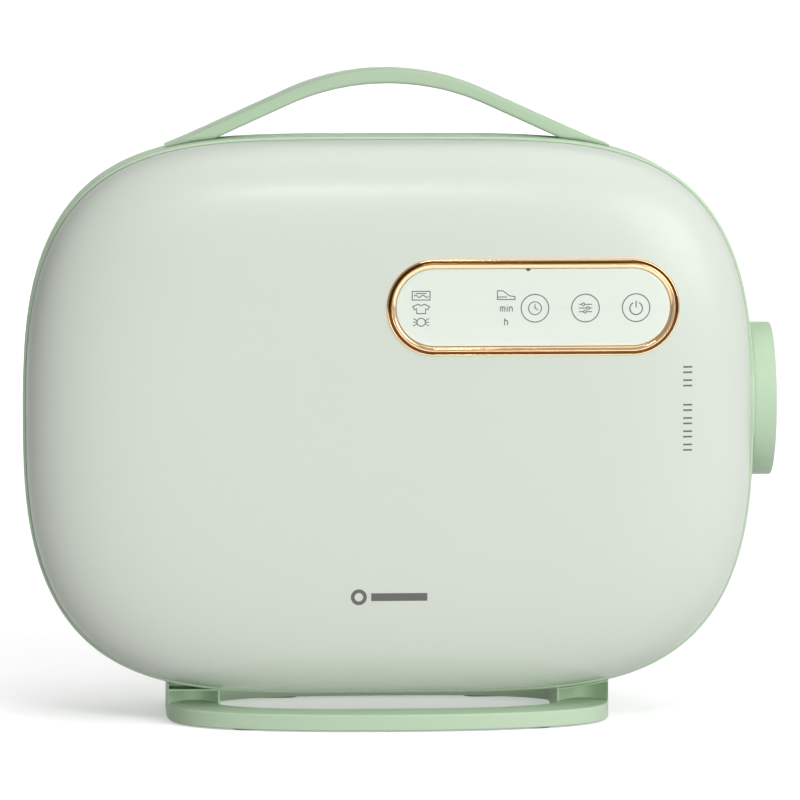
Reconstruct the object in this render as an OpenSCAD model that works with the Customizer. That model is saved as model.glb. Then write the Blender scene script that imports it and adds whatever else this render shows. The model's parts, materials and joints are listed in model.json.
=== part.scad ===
// Portable quilt and clothes dryer: a pillow-shaped hot-air blower with a carry handle on top,
// a flat ring stand below, a touch panel on the front and a round hose outlet on its side.
// Frame: X runs to the outlet side, Y from the front cover to the back, Z up from the floor.
// The origin is on the floor, under the middle of the whole dryer.

/* [Body] */
// Width of the rear housing
body_w = 298.8; // [290:0.2:310]
// Height of the rear housing
body_h = 227.8; // [224:0.2:234]
// Height of the body's centre above the floor
body_z = 125.7; // [125:0.1:128]
// Reach of the front cover ahead of the mid-plane
body_front = 56; // [54:0.5:58]
// Reach of the rear housing behind the mid-plane
body_back = 56; // [55:0.5:58]
// Distance of the cover's edge ahead of the mid-plane
rim_y = 30; // [28:0.5:32]
// How far the rim stands outside the cover
rim_step = 1.2; // [1:0.1:1.8]
// Squareness of the outline across its width
square_x = 4.35; // [4:0.05:4.6]
// Squareness of the outline over its height
square_z = 2.75; // [2.6:0.05:3]
// Thickness of the cover and the housing
wall = 2.5; // [2:0.1:3]

/* [Outlet] */
// Height of the outlet's axis above the floor
outlet_z = 129.7; // [128:0.1:131]
// Bore radius of the outlet collar, where the hose's spigot goes
outlet_bore_r = 29; // [28:0.1:29.4]
// Outer radius of the outlet collar
outlet_r = 31.6; // [31.4:0.1:32]
// How far the collar stands out from the body's side
outlet_reach = 9.4; // [8:0.2:12]

/* [Handle] */
// Height of the handle's crown above the floor
handle_top = 266.6; // [262:0.1:270]
// Radius of the handle's crown
crown_r = 98; // [92:1:104]
// Slope of the handle's straight sides, in degrees
handle_slope = 24.4; // [24:0.1:25]
// Thickness of the handle
handle_t = 6; // [5:0.5:7]
// Width of the handle from front to back
handle_w = 25; // [22:1:26]

/* [Stand] */
// Width of the stand's ring
stand_w = 182; // [178:1:186]
// Depth of the stand's ring
stand_d = 130; // [126:1:134]
// Height of the ring's top above the floor
stand_h = 7.2; // [6.5:0.1:8]
// Width of the ring's band at its ends
band_x = 21.7; // [20:0.1:22]
// Width of the ring's band at the front and back
band_y = 20.1; // [19:0.1:21]
// Height of the shelf across the front of the left post
shelf_z = 13; // [11:0.1:14]

/* [Touch panel] */
// Distance of the panel's middle from the body's centre plane
panel_x = 57.6; // [55:0.1:58]
// Height of the panel's middle above the floor
panel_z = 171.6; // [168:0.1:173]
// Width over the bezel
panel_w = 119; // [115:1:120]
// Height over the bezel
panel_h = 39.2; // [38:0.1:40]
// Width of the bezel's band
bezel_band = 3.8; // [3.4:0.1:4.2]
// Radius of a touch key's sensing spring
key_r = 5; // [4:0.1:5.4]

/* [Air inlet] */
// Width of the inlet cover
inlet_w = 150; // [140:1:154]
// Height of the inlet cover
inlet_h = 96; // [90:1:98]
// Number of slot rows in the inlet cover
slot_rows = 11; // [9:1:11]

/* [Blower] */
// Distance of the blower's axis from the body's centre plane
blower_x = -50; // [-52:0.5:-49]
// Height of the blower's axis above the floor
blower_z = 86.7; // [86:0.1:87.4]
// Radius of the impeller
impeller_r = 45; // [42:0.5:46]
// Width of the impeller along its axis
impeller_w = 40; // [36:1:42]
// Number of impeller blades
blade_count = 32; // [24:1:36]
// Radius of the motor shaft
shaft_r = 3; // [2.5:0.1:3.5]
// Radial running clearance of the shaft in its bearings
shaft_play = 0.05; // [0.02:0.01:0.1]

/* [Hidden] */
$fn = 96;

// The body's centre plane lies left of the origin, because the collar stands out on the right.
body_x = -outlet_reach / 2;

// The outline of the rear housing and of the front cover
half_w = body_w / 2;
half_h = body_h / 2;
outline_points = 76;
cover_dome = 5;
cover_blend = 2.2;
rear_dome = 2.6;
rear_blend = 2;
rear_start = 2;
dome_steps = 8;
dome_reach = 0.86;
lip_depth = 3;
lip_t = 1.2;
seal_t = 0.8;
seal_gap = 0.5;
lip_end = -rim_y + lip_depth - seal_t;
cover_boss_r = 4.4;
board_boss_r = 3.4;

function power(v, e) = sign(v) * pow(abs(v), e);
function outline(a, b, nx = square_x, nz = square_z, n = outline_points) =
    [for (i = [0 : n - 1]) let (t = (i + 0.5) * 360 / n)
        [a * power(cos(t), 2 / nx), b * power(sin(t), 2 / nz)]];
function ring(inset, y) =
    [for (p = outline(half_w - inset, half_h - inset)) [p[0], y, body_z + p[1]]];
function dome(t, p, q) = pow(1 - pow(1 - t, p), 1 / q);
function dome_t(k) = dome_reach * pow(k / dome_steps, 2);

// A profile is a list of [inset from the outline, y], from the edge to the middle of the dome.
function cover_profile(skin) = let (b = half_h - rim_step - skin)
    [for (k = [0 : dome_steps]) let (t = dome_t(k))
        [rim_step + skin + t * b,
         -rim_y - (body_front - rim_y - skin) * dome(t, cover_dome, cover_blend)]];
function rear_profile(skin) = let (b = half_h - skin)
    [for (k = [0 : dome_steps]) let (t = dome_t(k))
        [skin + t * b,
         rear_start + (body_back - rear_start - skin) * dome(t, rear_dome, rear_blend)]];
// The inset of the outline that passes through a point, found by halving, and the dome's depth there.
function outside(x, z, a, b) = pow(abs(x) / a, square_x) + pow(abs(z) / b, square_z) > 1;
function inset_at(x, z, a, b, low = 0, high = 90, turns = 18) = let (mid = (low + high) / 2)
    turns == 0 ? mid
    : outside(x, z, a - mid, b - mid) ? inset_at(x, z, a, b, low, mid, turns - 1)
    : inset_at(x, z, a, b, mid, high, turns - 1);
function rear_y(x, z) = let (t = inset_at(x, z - body_z, half_w, half_h) / half_h)
    rear_start + (body_back - rear_start) * dome(t, rear_dome, rear_blend);
function reversed(list) = [for (i = [len(list) - 1 : -1 : 0]) list[i]];

// The handle's upper line: a round crown with straight sides.
handle_mid_y = -3.5;
crown_x = crown_r * sin(handle_slope);
crown_z = handle_top - crown_r * (1 - cos(handle_slope));
function shell_half(x) = half_h * pow(1 - pow(abs(x) / half_w, square_x), 1 / square_z);
function handle_z(x) = abs(x) < crown_x
    ? handle_top - crown_r + sqrt(crown_r * crown_r - x * x)
    : max(crown_z - (abs(x) - crown_x) * tan(handle_slope), body_z + shell_half(x) + 0.3);
handle_half = 91;
handle_sections = 56;
boss_x = 74;
boss_r = 5;
boss_depth = 14;
handle_screw_r = 2;
handle_foot_z = handle_z(boss_x) - 2 - boss_depth;
clamp_r = 9;
clamp_t = 4;

// The stand
ring_square_x = 2;
ring_square_y = 4.5;
hole_square = 3.1;
hole_w = 150;
foot_t = 0.6;
foot_pad_t = 2.4;
post_front = 25;
post_back = 12;
post_steps = 10;
post_x = 80;
post_gap = 0.1;
post_screws_y = [-6, 6];
web_t = 0.8;
shelf_t = 0.7;
shelf_gap = 0.7;
hollow_x = stand_w / 2 - band_x / 2;
hollow_half = band_x / 2 - web_t;
hollow_depth = 11.3;
pocket_depth = 11.6;
pad_x = 50;
pad_y = 49.5;

// The touch panel
pane_gap = 0.15;
bezel_lip = 1.1;
bezel_proud = 1.2;
bezel_depth = 4;
lens_t = 1.6;
lens_w = panel_w - 2 * bezel_band;
lens_h = panel_h - 2 * bezel_band;
key_x = [panel_x + 0.9, panel_x + 21.5, panel_x + 42.2];
control_y = -48;
control_t = 1.6;
carrier_y = -body_front + 1.6 + bezel_depth;
carrier_band = 6;
control_screw_r = 1.2;
control_w = 108;
control_h = 30;
display_x = panel_x - 28.5;
display_z = panel_z - 0.3;
display_t = 5;
guide_x = [panel_x - 45.3, panel_x - 10.9];
mark_pitch = 5.4;
spring_step = 0.85;

// The outlet
collar_end = half_w + outlet_reach;
collar_start = 128;
collar_shoulder = half_w + 0.4;
collar_boss_r = 32.3;
collar_boss_start = half_w - 17;
collar_notch_r = collar_boss_r + 0.4;
collar_body_r = 30.8;
collar_edge = 0.3;
duct_bore_r = outlet_bore_r + 1;
duct_wall = 1.4;
duct_ring = 8;
guard_r = duct_bore_r - 0.2;
guard_x = collar_start - duct_ring;
guard_t = 3;
guard_rim = 1.8;
guard_bar = 1.4;
guard_ring_r = 15;

// The air inlet
inlet_z = body_z;
inlet_gap = 0.4;
inlet_y = 51.6;
inlet_t = 3.4;
slot_h = 3.4;
slot_pitch = 7.2;
slot_margin = 9;
inlet_rib = 6;
filter_y = 47.4;
seat_y = 44.4;
seat_top_y = 49.2;

// The blower: the scroll's radius grows from the cut-off round to the top, where the duct leaves.
duct_half_y = 24;
duct_half_z = outlet_bore_r;
case_t = 2;
case_y = duct_half_y + case_t;
scroll_r0 = 50;
scroll_r1 = outlet_z + duct_half_z - blower_z;
duct_low = outlet_z - duct_half_z - blower_z;
cut_angle = 16;
scroll_turn = 270 + cut_angle;
scroll_steps = 40;
blower_len = 85;
hub_r = 9;
blade_len = 9;
blade_t = 1;
blade_inset = 0.6;
blade_bend = 16;
blade_half_angle = blade_t / 2 / impeller_r * 180 / PI;
ear_angles = [-40, -143, -200, -230];
ear_r = 4.5;
throat_r = impeller_r - blade_len;
grommet_t = 2.2;
grommet_r = ear_r + 0.3;
function scroll_r(angle) = scroll_r0 + (scroll_r1 - scroll_r0) * (cut_angle - angle) / scroll_turn;
function polar(r, angle) = [r * cos(angle), r * sin(angle)];
function ear(angle) = polar(scroll_r(angle) + case_t + ear_r - 1, angle);

// The motor
can_r = 30;
can_t = 1.6;
can_front = -50;
bearing_r = 8;
bearing_w = 5;
seat_r = 10.5;
stator_r = can_r - can_t;
yoke_r = 24;
pole_r = 15.8;
stator_y0 = -42.6;
stator_y1 = -32;
pole_count = 6;
pole_w = 5.2;
coil_w = 10.6;
coil_r0 = 17.2;
coil_t = 5.6;
coil_over = 1.4;
stator_l = stator_y1 - stator_y0;
rotor_r = 15;
flange_r = 34.5;
flange_t = 2.5;
shaft_y0 = -47;
shaft_y1 = 14;

// The heater
heater_x0 = blower_x + blower_len;
heater_x1 = 95;
core_x0 = 52;
core_x1 = 68;
strip_count = 3;
strip_t = 3.2;
fin_t = 0.5;
fin_folds = 20;
sensor_x = (heater_x1 + collar_start) / 2 - 8;
sensor_r = 2.1;
inner_y = duct_half_y - 2;
inner_z = duct_half_z - 2;
row_h = (2 * inner_z - strip_count * strip_t) / (strip_count + 1);
fin_pitch = 2 * (inner_y - 1) / fin_folds;
fuse_z = outlet_z + duct_half_z + case_t + 2.2;

// The power board
board_x0 = 12;
board_x1 = 98;
board_z0 = 36;
board_z1 = 92;
board_y = -41;
board_t = 1.6;
board_screw_r = 1.5;

// The cord's inlet
gland_x = -70;
gland_z = 54;
gland_r = 8;
gland_bore_r = 3.7;
gland_flange_r = 11;
gland_flange_t = 4;
gland_depth = 12;
gland_nut_r = 12;
gland_nut_t = 4;
gland_y = rear_y(gland_x, gland_z);

// Screws of the housing
corner_x = 116;
corner_z = 72;
corner_r = 5.2;
corner_meet = -20;
corner_head_y = 16;
screw_r = 1.9;

cover_green = [0.855, 0.886, 0.839];
housing_green = [0.722, 0.812, 0.702];
gold = [0.80, 0.62, 0.40];
steel = [0.72, 0.73, 0.75];
dark = [0.16, 0.17, 0.17];

module place() translate([body_x, 0, 0]) children();

// Extrudes a drawing of the XZ plane from y0 to y1, or one of the YZ plane from x0 to x1.
module along_y(y0, y1) translate([0, y1, 0]) rotate([90, 0, 0]) linear_extrude(y1 - y0) children();
module along_x(x0, x1) translate([x0, 0, 0]) rotate([90, 0, 90]) linear_extrude(x1 - x0) children();
module rod_y(x, z, y0, y1, r, fn = 32) translate([x, y1, z]) rotate([90, 0, 0])
    cylinder(r = r, h = y1 - y0, $fn = fn);
module rod_x(y, z, x0, x1, r, fn = 96) translate([x0, y, z]) rotate([0, 90, 0])
    cylinder(r = r, h = x1 - x0, $fn = fn);

// A closed skin through rings of equally many points, with a flat cap at each end.
module loft(rings) {
    n = len(rings[0]);
    m = len(rings);
    sides = [for (k = [0 : m - 2]) for (i = [0 : n - 1])
        let (j = (i + 1) % n, low = k * n, high = (k + 1) * n)
            for (f = [[low + i, high + i, high + j], [low + i, high + j, low + j]]) f];
    first = [for (i = [0 : n - 1]) i];
    last = [for (i = [n - 1 : -1 : 0]) (m - 1) * n + i];
    polyhedron([for (r = rings) for (p = r) p], concat([first], sides, [last]), convexity = 6);
}

module stadium(w, h) {
    square([w - h, h], center = true);
    for (s = [-1, 1]) translate([s * (w - h) / 2, 0]) circle(h / 2);
}
module stadium_ring(w, h, band) difference() {
    stadium(w, h);
    stadium(w - 2 * band, h - 2 * band);
}
module at_panel() translate([panel_x, panel_z]) children();
module at_corners() for (x = [-corner_x, corner_x], z = [-corner_z, corner_z])
    translate([x, 0, body_z + z]) children();
module at_blower() translate([blower_x, 0, blower_z]) children();
module at_ears() for (a = ear_angles) translate([ear(a)[0], 0, ear(a)[1]]) children();
module at_pillars() at_blower() at_ears() children();
module at_handle_bosses() for (s = [-1, 1]) translate([s * boss_x, handle_mid_y, 0]) children();
module at_stand_screws() for (s = [-1, 1], y = post_screws_y)
    translate([s * post_x, y, 0]) children();

// ---- Covers -------------------------------------------------------------------------------

// The solids that the two shells' outer skins enclose, used to end bosses inside the wall
module cover_solid(skin)
    loft([for (p = concat([[rim_step + skin, lip_end]], cover_profile(skin))) ring(p[0], p[1])]);
module rear_solid(skin)
    loft([for (p = concat(reversed(rear_profile(skin)), [[skin, -rim_y]])) ring(p[0], p[1])]);

module front_cover() color(cover_green) place() difference() {
    union() {
        loft([for (p = concat(reversed(cover_profile(wall)),
            [[rim_step + wall, lip_end], [rim_step, lip_end]], cover_profile(0))) ring(p[0], p[1])]);
        intersection() {
            cover_solid(wall / 2);
            union() {
                at_corners() rod_y(0, 0, -body_front, corner_meet - 0.2, cover_boss_r);
                at_power_corners() rod_y(0, 0, -body_front, board_y, board_boss_r);
            }
        }
    }
    along_y(-body_front - 1, -body_front + 12) at_panel()
        stadium(panel_w - 2 * bezel_lip + 2 * pane_gap, panel_h - 2 * bezel_lip + 2 * pane_gap);
    rod_x(0, outlet_z, collar_start, half_w + 1, collar_notch_r);
    at_corners() rod_y(0, 0, corner_meet - 16, corner_meet + 1, screw_r);
    at_power_corners() rod_y(0, 0, board_y - 5, board_y + 1, board_screw_r);
}

module rear_housing() color(housing_green) place() difference() {
    union() {
        loft([for (p = concat(reversed(rear_profile(0)),
            [[0, -rim_y], [lip_t, -rim_y], [lip_t, -rim_y + lip_depth], [wall, -rim_y + lip_depth]],
            rear_profile(wall))) ring(p[0], p[1])]);
        intersection() {
            rear_solid(wall / 2);
            union() {
                at_corners() rod_y(0, 0, corner_meet, body_back, corner_r + 1.6);
                at_pillars() rod_y(0, 0, case_y + grommet_t, body_back, ear_r);
                at_stand_screws() translate([0, 0, stand_h]) cylinder(r = ear_r, h = 18, $fn = 32);
            }
        }
        rod_x(0, outlet_z, collar_boss_start, collar_shoulder, collar_boss_r);
        rod_y(gland_x, gland_z, gland_y - gland_depth / 2, gland_y + 3, gland_flange_r + 2, 64);
    }
    at_corners() rod_y(0, 0, corner_meet - 1, body_back, screw_r + 0.3);
    at_corners() rod_y(0, 0, corner_head_y, body_back, corner_r - 0.7);
    rod_x(0, outlet_z, collar_start - 1, half_w + 1, collar_body_r + pane_gap);
    along_y(seat_y, body_back + 1) translate([0, inlet_z])
        polygon(outline(inlet_w / 2 + inlet_gap, inlet_h / 2 + inlet_gap));
    at_pillars() rod_y(0, 0, case_y, case_y + grommet_t + 4, screw_r);
    rod_y(gland_x, gland_z, gland_y - gland_depth, body_back, gland_r + pane_gap, 64);
    rod_y(gland_x, gland_z, gland_y, body_back, gland_flange_r + pane_gap, 64);
    at_handle_bosses() translate([0, 0, body_z + half_h - 8])
        cylinder(r = boss_r + pane_gap, h = 12, $fn = 48);
    at_stand_screws() translate([0, 0, stand_h]) cylinder(r = screw_r, h = 16, $fn = 32);
}

// A flat gasket in the rebate of the rim, open where the outlet's boss passes
module cover_seal() color(dark) place() difference() {
    along_y(lip_end, lip_end + seal_t) translate([0, body_z]) difference() {
        polygon(outline(half_w - lip_t - seal_gap, half_h - lip_t - seal_gap));
        polygon(outline(half_w - rim_step - wall, half_h - rim_step - wall));
    }
    rod_x(0, outlet_z, collar_start, half_w, collar_notch_r);
}

// A screw along Y with its pan head at y1 and a recessed cross.
module screw_y(x, z, y0, y1, r, head_r, head_t) difference() {
    union() {
        rod_y(x, z, y0, y1, r);
        rod_y(x, z, y1, y1 + head_t, head_r);
    }
    for (a = [0, 90]) translate([x, y1 + head_t, z]) rotate([0, a, 0])
        cube([head_r * 1.1, head_t, head_r * 0.28], center = true);
}

module housing_screws() color(steel) place()
    at_corners() screw_y(0, 0, corner_meet - 12, corner_head_y, screw_r, 3.6, 2.4);

// ---- Touch panel --------------------------------------------------------------------------

// The part of the front dome between two heights above its surface.
module cover_skin(low, high) intersection() {
    loft([for (p = concat(reversed(cover_profile(-low)), cover_profile(-high))) ring(p[0], p[1])]);
    children();
}

module panel_bezel() color(gold) place() union() {
    cover_skin(0.05, bezel_proud) along_y(-body_front - 3, -rim_y) at_panel()
        stadium_ring(panel_w, panel_h, bezel_band);
    along_y(carrier_y - bezel_depth, carrier_y) at_panel()
        stadium_ring(panel_w - 2 * bezel_lip, panel_h - 2 * bezel_lip, bezel_band - bezel_lip);
}

module panel_lens() color("white") place() cover_skin(-lens_t, 0.1)
    along_y(-body_front - 3, -rim_y) at_panel()
        stadium(lens_w - 2 * pane_gap, lens_h - 2 * pane_gap);

// The frame behind the bezel that the control board is screwed to
module panel_carrier() color("white") place() difference() {
    along_y(carrier_y, control_y) at_panel()
        stadium_ring(panel_w - 2 * bezel_lip, panel_h - 2 * bezel_lip, carrier_band);
    at_board_corners() rod_y(0, 0, carrier_y - 1, control_y + 1, control_screw_r);
}

module control_board() color("seagreen") place() difference() {
    along_y(control_y, control_y + control_t) at_panel() square([control_w, control_h], center = true);
    at_board_corners() rod_y(0, 0, control_y - 1, control_y + 4, control_screw_r + 0.1);
}
module at_board_corners() for (x = [-1, 1], z = [-1, 1])
    translate([panel_x + x * (control_w / 2 - 4), 0, panel_z + z * (control_h / 2 - 4)]) children();

module control_board_screws() color(steel) place() at_board_corners()
    screw_y(0, 0, control_y - 2.2, control_y + control_t, control_screw_r, 2.4, 1.4);

module display_module() color(dark) place() along_y(control_y - display_t, control_y)
    translate([display_x, display_z]) square([26, 16], center = true);

// Two blocks with a chimney behind each printed mark
module light_guide() color("white") place() for (x = guide_x) difference() {
    along_y(control_y - display_t, control_y) translate([x, display_z]) square([5.6, 17], center = true);
    for (z = [-1, 0, 1]) along_y(control_y - display_t - 1, control_y + 1)
        translate([x, display_z + z * mark_pitch]) square([4.4, 4.2], center = true);
}

module touch_springs() color(steel) place() for (x = key_x) {
    rod_y(x, panel_z, control_y - 4, control_y - 3.4, key_r, 48);
    for (k = [0 : 3]) let (y = control_y - 3.4 + spring_step * k)
        along_y(y, y + spring_step) translate([x, panel_z]) difference() {
            circle(key_r - 0.8 - 0.4 * k, $fn = 48);
            circle(key_r - 1.6 - 0.4 * k, $fn = 48);
        }
}

// ---- Outlet -------------------------------------------------------------------------------

module at_outlet() translate([0, outlet_z]) children();
module outlet_collar() color(housing_green) place() translate([0, 0, outlet_z]) rotate([0, 90, 0])
    rotate_extrude() polygon([
        [outlet_bore_r, collar_start], [collar_body_r, collar_start],
        [collar_body_r, collar_shoulder], [outlet_r - 0.4, collar_shoulder],
        [outlet_r, collar_shoulder + 0.4], [outlet_r, collar_end - collar_edge],
        [outlet_r - collar_edge, collar_end], [outlet_bore_r + collar_edge, collar_end],
        [outlet_bore_r, collar_end - collar_edge]]);

// A finger guard behind the collar: a rim, a smaller ring and three bars across
module outlet_guard() color(dark) place() along_x(guard_x, guard_x + guard_t) at_outlet() {
    difference() {
        circle(guard_r);
        circle(guard_r - guard_rim);
    }
    for (a = [0, 60, 120]) rotate(a) square([2 * guard_r - guard_rim, guard_bar], center = true);
    difference() {
        circle(guard_ring_r);
        circle(guard_ring_r - guard_bar);
    }
}

// From the heater's square section to the round collar
module outlet_duct() color("dimgray") place() difference() {
    hull() {
        along_x(heater_x1, heater_x1 + 1) duct_section(case_t);
        rod_x(0, outlet_z, collar_start - duct_ring, collar_start, duct_bore_r + duct_wall);
    }
    hull() {
        along_x(heater_x1 - 0.1, heater_x1 + 1) duct_section(0);
        rod_x(0, outlet_z, collar_start - duct_ring, collar_start - duct_ring + 1, duct_bore_r);
    }
    rod_x(0, outlet_z, collar_start - duct_ring, collar_start + 1, duct_bore_r);
    translate([sensor_x, 0, outlet_z]) cylinder(r = sensor_r + 0.1, h = 60, $fn = 32);
}

module air_sensor() color("black") place() translate([sensor_x, 0, outlet_z + 12]) union() {
    cylinder(r = sensor_r, h = 30, $fn = 32);
    sphere(r = sensor_r, $fn = 32);
}

// ---- Handle -------------------------------------------------------------------------------

// The band's underside runs parallel to its top and ends on the shell.
function handle_low(x) = max(handle_z(x) - handle_t, body_z + shell_half(x) + 0.05);

module handle() color(housing_green) place() difference() {
    handle_line = [for (k = [0 : handle_sections]) handle_half * (2 * k / handle_sections - 1)];
    union() {
        along_y(handle_mid_y - handle_w / 2, handle_mid_y + handle_w / 2) polygon(concat(
            [for (x = handle_line) [x, handle_z(x)]],
            [for (x = reversed(handle_line)) [x, handle_low(x)]]));
        at_handle_bosses() translate([0, 0, handle_foot_z]) cylinder(r = boss_r, h = boss_depth, $fn = 48);
    }
    at_handle_bosses() translate([0, 0, handle_foot_z - 1])
        cylinder(r = handle_screw_r, h = boss_depth, $fn = 32);
}

module at_handle_feet() at_handle_bosses() translate([0, 0, handle_foot_z]) children();
module handle_clamps() color(steel) place() at_handle_feet() difference() {
    cylinder(r = clamp_r, h = clamp_t, $fn = 48);
    translate([0, 0, -1]) cylinder(r = boss_r + pane_gap, h = clamp_t + 2, $fn = 48);
}
module handle_screws() color(steel) place() at_handle_feet() difference() {
    union() {
        translate([0, 0, -3]) cylinder(r = 7, h = 3, $fn = 48);
        cylinder(r = handle_screw_r, h = boss_depth - 2, $fn = 32);
    }
    translate([0, 0, -4]) cylinder(r = 2.2, h = 2.5, $fn = 6);
}

// ---- Stand --------------------------------------------------------------------------------

function ring_plan(w, d) = outline(w / 2, d / 2, ring_square_x, ring_square_y);
// The ring's hole, cut off straight where the posts stand
module ring_hole() intersection() {
    polygon(outline(hole_w / 2, stand_d / 2 - band_y, hole_square, hole_square));
    square([stand_w - 2 * band_x, stand_d], center = true);
}
// The shelf across the front of a post is level on the left and follows the shell on the right.
function shelf_top(s, x) = s < 0 ? shelf_z : body_z - shell_half(x) - post_gap - shelf_gap;
function shelf_line(s, drop) = [for (k = [-post_steps : post_steps])
    let (x = hollow_x + hollow_half * k / post_steps) [s * x, shelf_top(s, x) - drop]];
function hollow_plan() = [for (k = [-post_steps : post_steps]) let (t = k / post_steps)
    [hollow_half * t, hollow_depth * (1 - t * t)]];

module stand() color(housing_green) place() difference() {
    union() {
        translate([0, 0, foot_t]) linear_extrude(stand_h - foot_t) difference() {
            polygon(ring_plan(stand_w, stand_d));
            ring_hole();
        }
        for (s = [-1, 1]) intersection() {
            translate([0, 0, stand_h - 1]) linear_extrude(20) polygon(ring_plan(stand_w, stand_d));
            along_y(-post_front, post_back) polygon(concat(
                [for (k = [0 : post_steps]) let (x = stand_w / 2 - band_x * k / post_steps)
                    [s * x, body_z - shell_half(x) - post_gap]],
                [[s * (stand_w / 2 - band_x), stand_h - 1], [s * stand_w / 2, stand_h - 1]]));
        }
    }
    // The front of each post is hollowed by an upright arc under the shelf and open above it.
    for (s = [-1, 1]) intersection() {
        translate([s * hollow_x, -post_front, stand_h]) linear_extrude(20)
            polygon(concat([[-hollow_half, -2]], hollow_plan(), [[hollow_half, -2]]));
        along_y(-post_front - 1, post_back) polygon(concat(shelf_line(s, shelf_t),
            [[s * (hollow_x + hollow_half), stand_h], [s * (hollow_x - hollow_half), stand_h]]));
    }
    for (s = [-1, 1]) along_y(-post_front - 1, pocket_depth - post_front)
        polygon(concat(shelf_line(s, 0), [[s * (hollow_x + hollow_half), stand_h + 20],
            [s * (hollow_x - hollow_half), stand_h + 20]]));
    at_stand_screws() translate([0, 0, -1]) cylinder(r = screw_r + 0.3, h = 30, $fn = 32);
    at_stand_screws() translate([0, 0, -1]) cylinder(r = 4.2, h = 5, $fn = 32);
    at_pads() translate([0, 0, -1]) linear_extrude(1 + foot_pad_t) stadium(30.4, 9.4);
}
module at_pads() for (x = [-1, 1], y = [-1, 1]) translate([x * pad_x, y * pad_y, 0]) children();

module stand_screws() color(steel) place() at_stand_screws() translate([0, 0, 1.6]) difference() {
    union() {
        cylinder(r = 3.8, h = 2.4, $fn = 32);
        cylinder(r = screw_r, h = 20, $fn = 32);
    }
    for (a = [0, 90]) rotate(a) cube([4.2, 1.1, 2.4], center = true);
}

module rubber_feet() color(dark) place() at_pads() linear_extrude(foot_pad_t) stadium(30, 9);

// ---- Air inlet ----------------------------------------------------------------------------

function inlet_plan(inset) = outline(inlet_w / 2 - inset, inlet_h / 2 - inset);
function slot_half(z) = let (level = pow(abs(z) / (inlet_h / 2), square_z))
    (inlet_w / 2) * pow(1 - level, 1 / square_x) - slot_margin;

module inlet_cover() color(housing_green) place() union() {
    along_y(inlet_y, inlet_y + inlet_t) translate([0, inlet_z]) difference() {
        polygon(inlet_plan(0));
        for (k = [0 : slot_rows - 1], s = [-1, 1])
            let (z = (k - (slot_rows - 1) / 2) * slot_pitch, reach = slot_half(z))
                translate([s * (reach + inlet_rib / 2) / 2, z])
                    stadium(reach - inlet_rib / 2, slot_h);
    }
    along_y(filter_y, inlet_y) translate([0, inlet_z]) difference() {
        polygon(inlet_plan(0));
        polygon(inlet_plan(2));
    }
}

module filter_frame() color(dark) place() along_y(filter_y, filter_y + 2)
    translate([0, inlet_z]) difference() {
        polygon(inlet_plan(2.2));
        polygon(inlet_plan(7));
    }

module filter_mesh() color("gray") place() along_y(filter_y + 0.8, filter_y + 1.2)
    translate([0, inlet_z]) polygon(inlet_plan(7));

module inlet_seat() color(housing_green) place() union() {
    along_y(seat_y, seat_y + 2) translate([0, inlet_z]) difference() {
        polygon(inlet_plan(-4));
        difference() {
            polygon(inlet_plan(8));
            for (z = [-24, 0, 24]) translate([0, z]) square([inlet_w, 2.4], center = true);
            for (x = [-36, 0, 36]) translate([x, 0]) square([2.4, inlet_h], center = true);
        }
    }
    along_y(seat_y + 2, seat_top_y) translate([0, inlet_z]) difference() {
        polygon(inlet_plan(-4));
        polygon(inlet_plan(-1.6));
    }
}

module at_gland() translate([gland_x, gland_y, gland_z]) rotate([-90, 0, 0]) children();
module cord_gland() color(dark) place() at_gland() rotate_extrude() polygon([
    [gland_bore_r, -gland_depth], [gland_r, -gland_depth], [gland_r, 0], [gland_flange_r, 0],
    [gland_flange_r, gland_flange_t - 1], [gland_flange_r - 1, gland_flange_t],
    [gland_bore_r, gland_flange_t]]);

module gland_nut() color(dark) place() at_gland() translate([0, 0, -gland_depth]) difference() {
    cylinder(r = gland_nut_r, h = gland_nut_t, $fn = 6);
    translate([0, 0, -1]) cylinder(r = gland_r, h = gland_nut_t + 2, $fn = 64);
}

// ---- Blower -------------------------------------------------------------------------------

module scroll_2d(grow, extend = 0) {
    polygon([for (k = [0 : scroll_steps]) let (a = cut_angle - scroll_turn * k / scroll_steps)
        polar(scroll_r(a) + grow, a)]);
    translate([0, duct_low - grow]) square([blower_len + extend, 2 * (duct_half_z + grow)]);
}
module blower_half(y0, y1, inner0, inner1) difference() {
    union() {
        along_y(y0, y1) scroll_2d(case_t);
        at_ears() rod_y(0, 0, y0, y1, ear_r);
    }
    along_y(inner0, inner1) scroll_2d(0, 1);
    at_ears() rod_y(0, 0, y0 - 1, y1 + 1, screw_r + 0.2);
}
module blower_front() color("gainsboro") place() at_blower() difference() {
    blower_half(-case_y, 0, -duct_half_y, 1);
    rod_y(0, 0, -case_y - 1, 0, shaft_r + 2);
    at_motor_ears() rod_y(0, 0, -case_y - 1, 0, screw_r);
}
module blower_back() color("gainsboro") place() at_blower() difference() {
    blower_half(0, case_y, -1, duct_half_y);
    rod_y(0, 0, 0, case_y + 1, throat_r, 96);
}
module blower_screws() color(steel) place() at_blower() at_ears() mirror([0, 1, 0])
    screw_y(0, 0, -case_y - grommet_t - 4, case_y, screw_r, 3.6, 2.2);
module damper_grommets() color("black") place() at_blower() at_ears() difference() {
    rod_y(0, 0, case_y, case_y + grommet_t, grommet_r);
    rod_y(0, 0, case_y - 1, case_y + grommet_t + 1, screw_r);
}
module inlet_bellmouth() color("gainsboro") place() at_blower() rotate([-90, 0, 0])
    rotate_extrude() polygon([
        [throat_r - 1.8, 21], [throat_r, 21], [throat_r, case_y], [throat_r + 7, case_y],
        [throat_r + 7, case_y + 1.6], [throat_r + 1.5, case_y + 1.6], [throat_r - 1.8, case_y - 1.6]]);

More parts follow.
